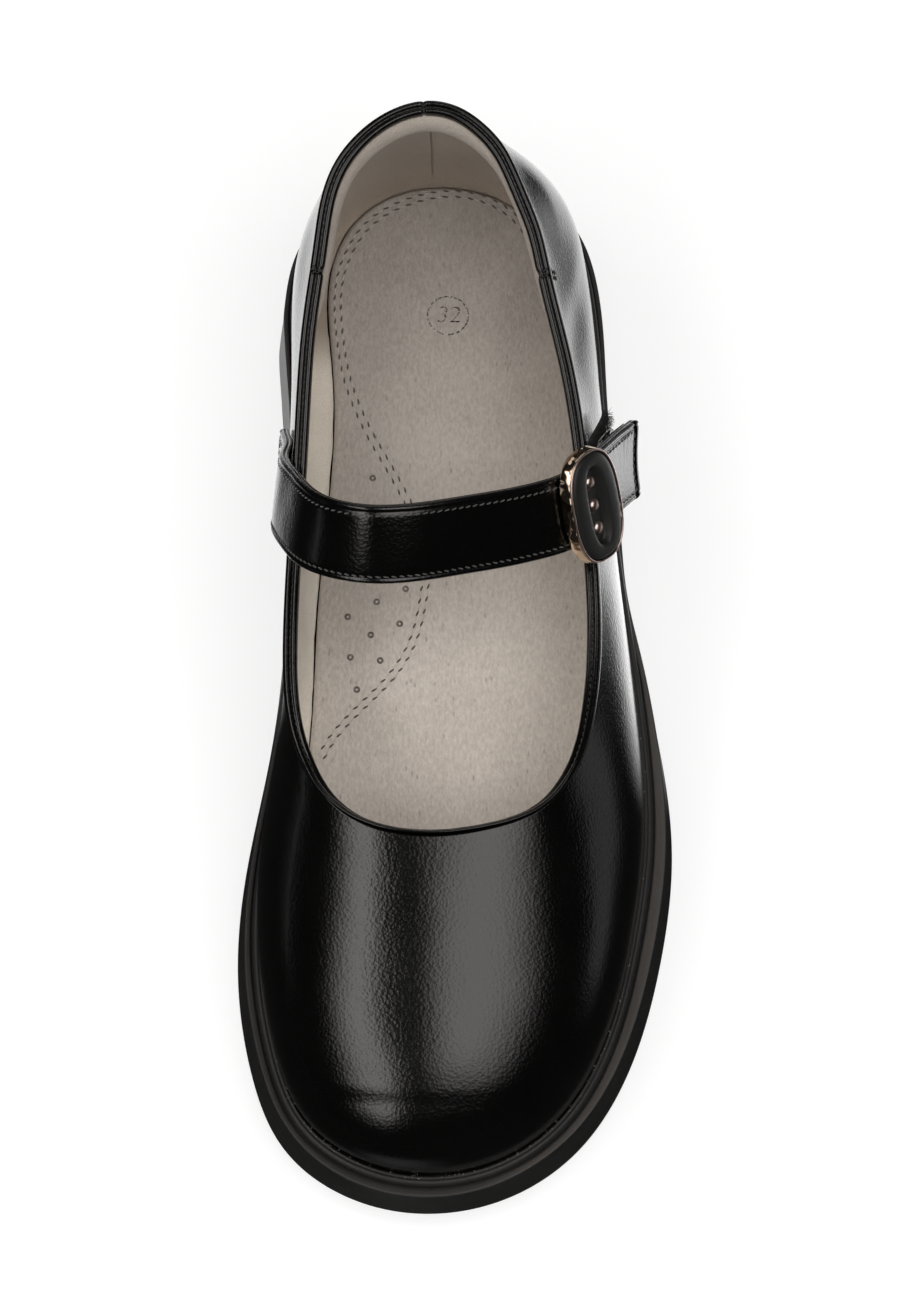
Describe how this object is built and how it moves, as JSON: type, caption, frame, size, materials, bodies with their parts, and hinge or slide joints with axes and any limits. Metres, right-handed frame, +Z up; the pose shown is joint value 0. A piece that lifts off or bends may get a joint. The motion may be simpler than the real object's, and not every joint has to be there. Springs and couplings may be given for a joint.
{
  "type": "one-strap shoe",
  "caption": "Child's black leather one-strap shoe, left foot: rounded toe, low collar, strap with an oval buckle plate and hook-and-loop, thick flat moulded sole.",
  "frame": {"origin": "middle of the shoe's box at floor level, which is the plane of the tread", "axes": "+Z up, toe towards -Y, heel towards +Y, outer side with the buckle towards +X"},
  "size_m": [0.0904, 0.2257, 0.0812],
  "materials": {
    "upper_leather": "smooth black, glossy, fine grain",
    "sole_rubber": "matt black, foamed",
    "sock_leather": "warm grey pigskin, matt, with pores",
    "closure_fabric": "black hook-and-loop pile",
    "rose_metal": "polished rose gold plating",
    "black_plastic": "soft satin black"
  },
  "bodies": {
    "root": {"sole": "sole_rubber", "upper": "upper_leather", "insole": "sock_leather", "strap": "upper_leather", "hook_strip": "closure_fabric", "loop_patch": "closure_fabric", "buckle_frame": "rose_metal", "buckle_face": "black_plastic", "stud_1": "rose_metal", "stud_2": "rose_metal", "stud_3": "rose_metal"}
  },
  "joints": []
}
